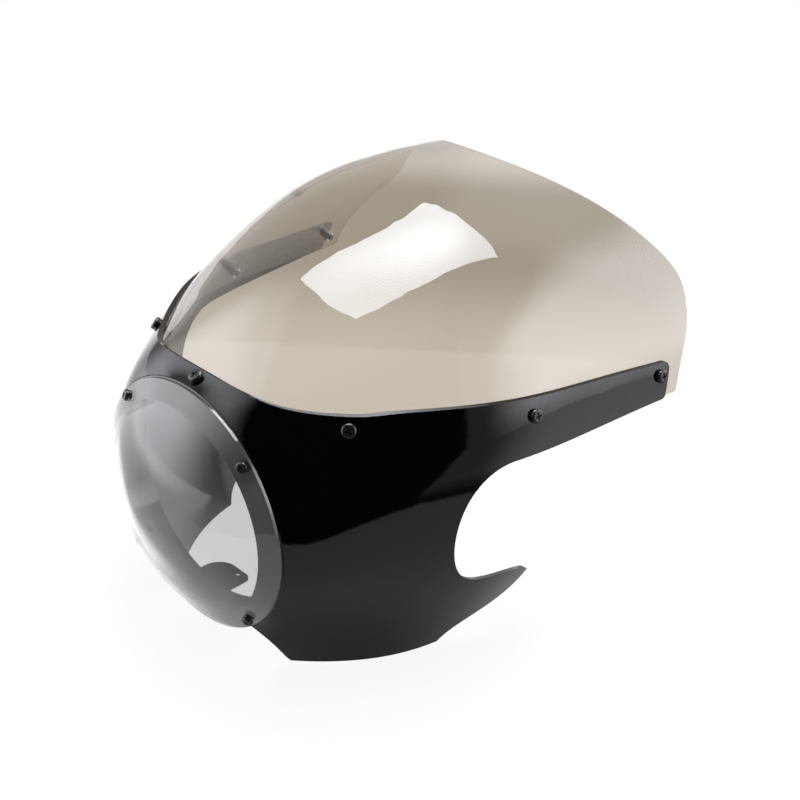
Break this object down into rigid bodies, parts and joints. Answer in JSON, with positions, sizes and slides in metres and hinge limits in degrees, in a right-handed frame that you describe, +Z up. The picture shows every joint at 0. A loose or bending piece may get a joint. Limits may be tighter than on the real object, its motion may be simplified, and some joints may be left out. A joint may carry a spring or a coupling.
{
  "type": "headlight cowl",
  "caption": "Gloss black motorbike headlight cowl with a round clear lens in its nose, fork notches, rear arms and a domed smoked windscreen screwed along its upper edge.",
  "frame": {"origin": "centre of the nose rim that the lens seat slopes out from, on the aperture's axis", "axes": "-Y forwards out of the lens, +Y rearwards, +Z up, +X to the side that the picture shows"},
  "size_m": [0.367, 0.3785, 0.3162],
  "materials": {
    "shell": "gloss black moulded plastic",
    "screen": "smoked transparent acrylic",
    "lens": "clear transparent plastic",
    "black_screw": "black coated steel",
    "bright_nut": "bright zinc plated"
  },
  "bodies": {
    "root": {"cowl_shell": "shell", "windscreen": "screen", "headlamp_lens": "lens", "windscreen_screws": "black_screw", "windscreen_nuts": "bright_nut", "lens_screws": "black_screw", "lens_nuts": "bright_nut"}
  },
  "joints": []
}
